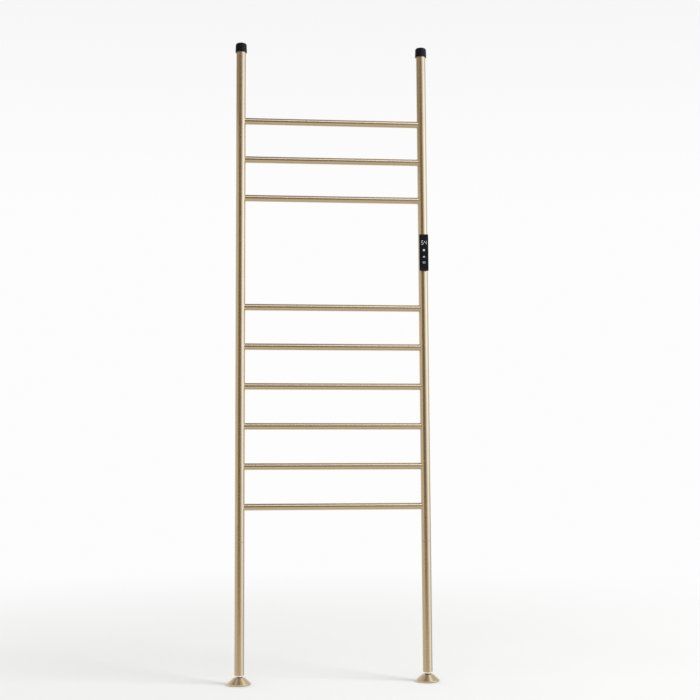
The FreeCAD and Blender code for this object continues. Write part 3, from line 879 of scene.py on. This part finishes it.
def pale_floor():
    """Matt pale floor that keeps the shadow and whitens with distance from the ladder."""
    material, tree = start_material("matt_pale_floor")
    place = add(tree, "TexCoord").outputs["Object"]
    distance = add(tree, "VectorMath", {0: place}, operation="LENGTH").outputs["Value"]
    ends = {"Value": distance, "From Min": FLOOR_FADE[0], "From Max": FLOOR_FADE[1]}
    fade = add(tree, "MapRange", ends, interpolation_type="SMOOTHSTEP").outputs[0]
    whitened = add(tree, "Math", {0: fade, 1: seen(tree)}, operation="MULTIPLY").outputs[0]
    clouds = pattern(tree, (FLOOR_CLOUD,) * 3, place)
    matt = add(tree, "BsdfDiffuse", {"Color": drift(tree, clouds, "#eeefed", "#f2f2f1")})
    white = add(tree, "Emission", {"Color": PURE_WHITE, "Strength": WHITE[0]})
    show(tree, add(tree, "MixShader", {0: whitened, 1: matt.outputs[0], 2: white.outputs[0]}))
    material.cycles.emission_sampling = "NONE"
    far, near = FLOOR_HALF, -FLOOR_HALF
    corners = [[(near, near, 0), (far, near, 0)], [(near, far, 0), (far, far, 0)]]
    stage_piece("pale_floor", corners, material).visible_glossy = False


def mirrored_card(name, colour, glow, points, shares):
    """Card that only mirrored rays see, over a grid of points. Its glow runs evenly between the
    shares of it that are given at the points."""
    material, tree = start_material(name)
    share = add(tree, "Attribute", attribute_name="share").outputs["Fac"]
    strength = add(tree, "Math", {0: share, 1: glow}, operation="MULTIPLY").outputs[0]
    show(tree, add(tree, "Emission", {"Color": linear(colour), "Strength": strength}))
    material.cycles.emission_sampling = "NONE"
    card = stage_piece(name, points, material)
    values = np.broadcast_to(shares, np.shape(points)[:2]).astype(np.float32)
    card.data.attributes.new("share", "FLOAT", "POINT").data.foreach_set("value", values.ravel())
    card.visible_camera = False
    card.visible_diffuse = False
    card.visible_transmission = False
    card.visible_shadow = False


def upright_card(name, colour, glow, columns, rows):
    """Upright card. Columns give places on the floor plan and rows give heights, each with its
    share of the glow, and the two shares multiply."""
    x, y, across = np.array(columns, float).T
    z, upwards = np.array(rows, float).T
    points = np.stack(np.broadcast_arrays(x, y, z[:, None]), axis=-1)
    mirrored_card(name, colour, glow, points, upwards[:, None] * across)


def soft_box(name, glow, size, place, aim):
    """Flat lamp of an even glow, at a place and aimed at a point, that mirrored rays don't see."""
    lamp = bpy.data.lights.new(name, "AREA")
    lamp.shape = "RECTANGLE"
    lamp.size, lamp.size_y = size
    lamp.energy = glow * math.pi * size[0] * size[1]
    box = bpy.data.objects.new(name, lamp)
    box.location = place
    away = np.array(place) - np.array(aim)
    flat = math.hypot(away[0], away[1])
    box.rotation_euler = (math.atan2(flat, away[2]), 0, math.atan2(away[0], -away[1]))
    box.visible_glossy = False
    bpy.context.scene.collection.objects.link(box)


white_world()
pale_floor()
upright_card("brown_front_card", CARD_BROWN, BROWN_GLOW, BROWN_COLUMNS, BROWN_ROWS)
side_angles, side_shares = np.array(SIDE_CARD).T
side_angles = np.radians(side_angles)
side_places = SIDE_CARD_R * np.array([np.sin(side_angles), -np.cos(side_angles)])
side_columns = np.stack([*side_places, side_shares], axis=1)
upright_card("white_side_card", CARD_WHITE, SIDE_GLOW, side_columns, SIDE_ROWS)
upright_card("white_low_card", CARD_WHITE, SIDE_GLOW, side_columns[SIDE_CARD_LOW:], SIDE_LOW_ROWS)
upright_card("tan_side_card", CARD_TAN, TAN_GLOW, TAN_COLUMNS, TAN_ROWS)
ceiling_x, ceiling_shares = zip(*CEILING_COLUMNS)
ceiling = [[(x, y, CEILING_HEIGHT) for x in ceiling_x] for y in CEILING_Y]
mirrored_card("ceiling_card", CEILING_WHITE, CEILING_GLOW, ceiling, ceiling_shares)
mirrored_card("white_front_top_card", CARD_WHITE, FRONT_TOP_GLOW, FRONT_TOP, FRONT_TOP_SHARES)
soft_box("key_soft_box", **KEY_LAMP)
soft_box("top_soft_box", **TOP_LAMP)

# Camera where the photograph was taken
FOCAL_LENGTH = 68.86         # in millimetres, as is the sensor's width
SENSOR_WIDTH = 36.0
NEAREST_SEEN = 0.05
CAMERA_FROM_LADDER = np.array([-0.3014, -3.383, 0.6567])
CAMERA_TILT = math.radians(93.03)
CAMERA_TURN = math.radians(-5.76)
ladder_foot = np.array([0, BALL_Y - BALL_Z * UPWARD[1] / UPWARD[2], 0])
lens_data = bpy.data.cameras.new("photo_camera")
lens_data.lens = FOCAL_LENGTH
lens_data.sensor_width = SENSOR_WIDTH
lens_data.clip_start = NEAREST_SEEN
camera = bpy.data.objects.new("photo_camera", lens_data)
camera.location = ladder_foot + CAMERA_FROM_LADDER
camera.rotation_euler = (CAMERA_TILT, 0, CAMERA_TURN)
bpy.context.scene.collection.objects.link(camera)
bpy.context.scene.camera = camera
bpy.context.scene.view_settings.view_transform = "Standard"
